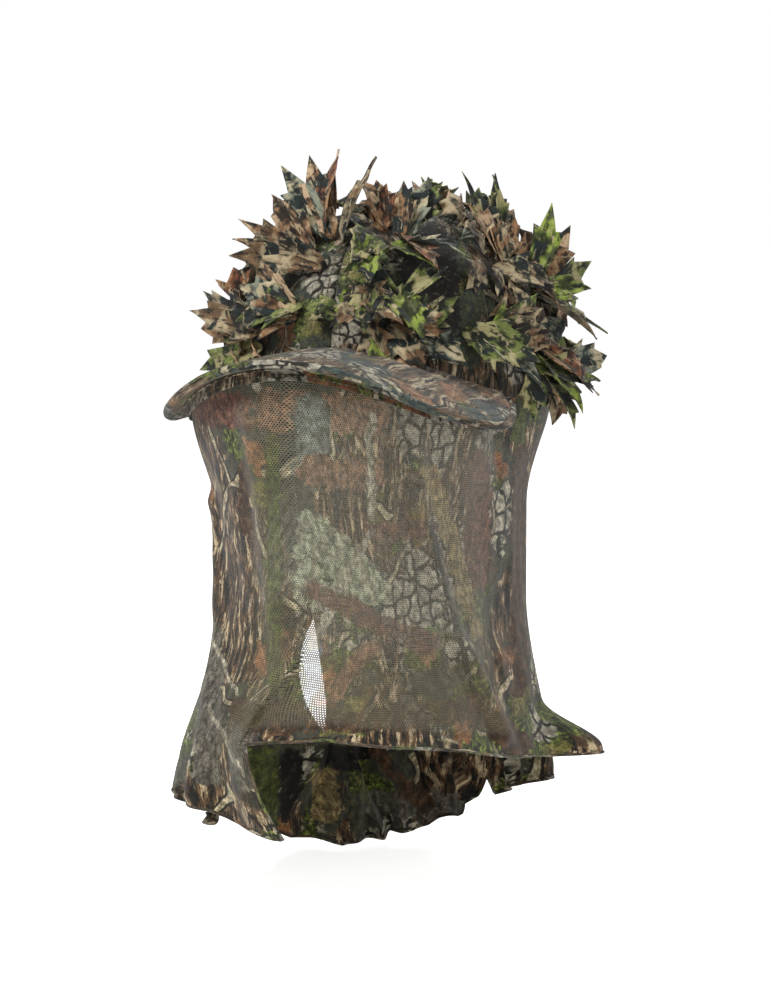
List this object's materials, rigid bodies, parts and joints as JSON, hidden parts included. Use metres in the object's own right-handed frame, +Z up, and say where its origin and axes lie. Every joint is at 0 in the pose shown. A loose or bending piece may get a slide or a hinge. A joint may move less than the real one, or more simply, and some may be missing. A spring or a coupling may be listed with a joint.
{
  "type": "leafy camouflage cap with mesh face veil",
  "caption": "Baseball-style camouflage cap covered in cut cloth leaves, with a curved bill and a see-through mesh veil that hangs over the face and neck.",
  "frame": {"origin": "centre of the head opening, level with the lower edge of the cap at the back", "axes": "+Z up through the crown, -Y forward along the bill, +X to the wearer's left"},
  "size_m": [0.2411, 0.3022, 0.4006],
  "materials": {
    "printed_cloth": "woven twill with a printed woodland pattern",
    "under_cloth": "woven twill in shadowed woodland print",
    "lining": "dark woven lining and tape",
    "board": "moulded stiffening sheet",
    "hook_and_loop": "hook-and-loop tape",
    "veil_mesh": "fine knitted mesh with a printed woodland pattern",
    "veil_hem": "turned and stitched mesh edge",
    "leaf_brown": "cut cloth leaf, brown print",
    "leaf_green": "cut cloth leaf, moss green print",
    "leaf_bark": "cut cloth leaf, bark print"
  },
  "bodies": {
    "root": {"crown_front_left": "printed_cloth", "crown_side_left": "printed_cloth", "crown_back_left": "printed_cloth", "crown_back_right": "printed_cloth", "crown_side_right": "printed_cloth", "crown_front_right": "printed_cloth", "crown_button": "printed_cloth", "front_stiffener": "lining", "seam_tape_front": "lining", "seam_tape_front_left": "lining", "seam_tape_back_left": "lining", "seam_tape_back": "lining", "seam_tape_back_right": "lining", "seam_tape_front_right": "lining", "sweatband": "lining", "bill_board": "board", "bill_cover_top": "printed_cloth", "bill_cover_under": "under_cloth", "bill_edge_binding": "printed_cloth", "strap_loop": "printed_cloth", "strap_anchor": "printed_cloth", "strap_loop_tape": "hook_and_loop", "veil_yoke": "veil_mesh", "veil_side_left": "veil_mesh", "veil_side_right": "veil_mesh", "neck_curtain_left": "veil_mesh", "neck_curtain_right": "veil_mesh", "veil_side_hem_left": "veil_hem", "veil_side_hem_right": "veil_hem", "neck_curtain_hem_left": "veil_hem", "neck_curtain_hem_right": "veil_hem", "leaf_top_front_right": "leaf_brown", "leaf_top_centre": "leaf_brown", "leaf_top_left": "leaf_bark", "leaf_top_back": "leaf_green", "leaf_upper_right": "leaf_bark", "leaf_side_right": "leaf_brown", "leaf_low_front_right": "leaf_bark", "leaf_low_right": "leaf_green", "leaf_upper_left": "leaf_bark", "leaf_side_left": "leaf_brown", "leaf_low_left": "leaf_green", "leaf_hanging_left": "leaf_green", "leaf_upper_back_left": "leaf_brown", "leaf_back_left": "leaf_green", "leaf_back": "leaf_bark", "leaf_back_right": "leaf_brown", "leaf_upper_back_right": "leaf_green", "leaf_front": "leaf_green"},
    "veil_front": {"veil_face_panel": "veil_mesh", "veil_face_hem": "veil_hem"},
    "strap_end": {"strap_hook": "printed_cloth", "strap_hook_tape": "hook_and_loop"}
  },
  "joints": [
    {"name": "veil_lift", "type": "hinge", "parent": "root", "child": "veil_front", "pos_m": [0, -0.14, 0.002], "axis": [-1, 0, 0], "range_deg": [0, 40]},
    {"name": "strap_peel", "type": "hinge", "parent": "root", "child": "strap_end", "pos_m": [-0.0464, 0.0871, 0.012], "axis": [0, 0, 1], "range_deg": [0, 70]}
  ]
}
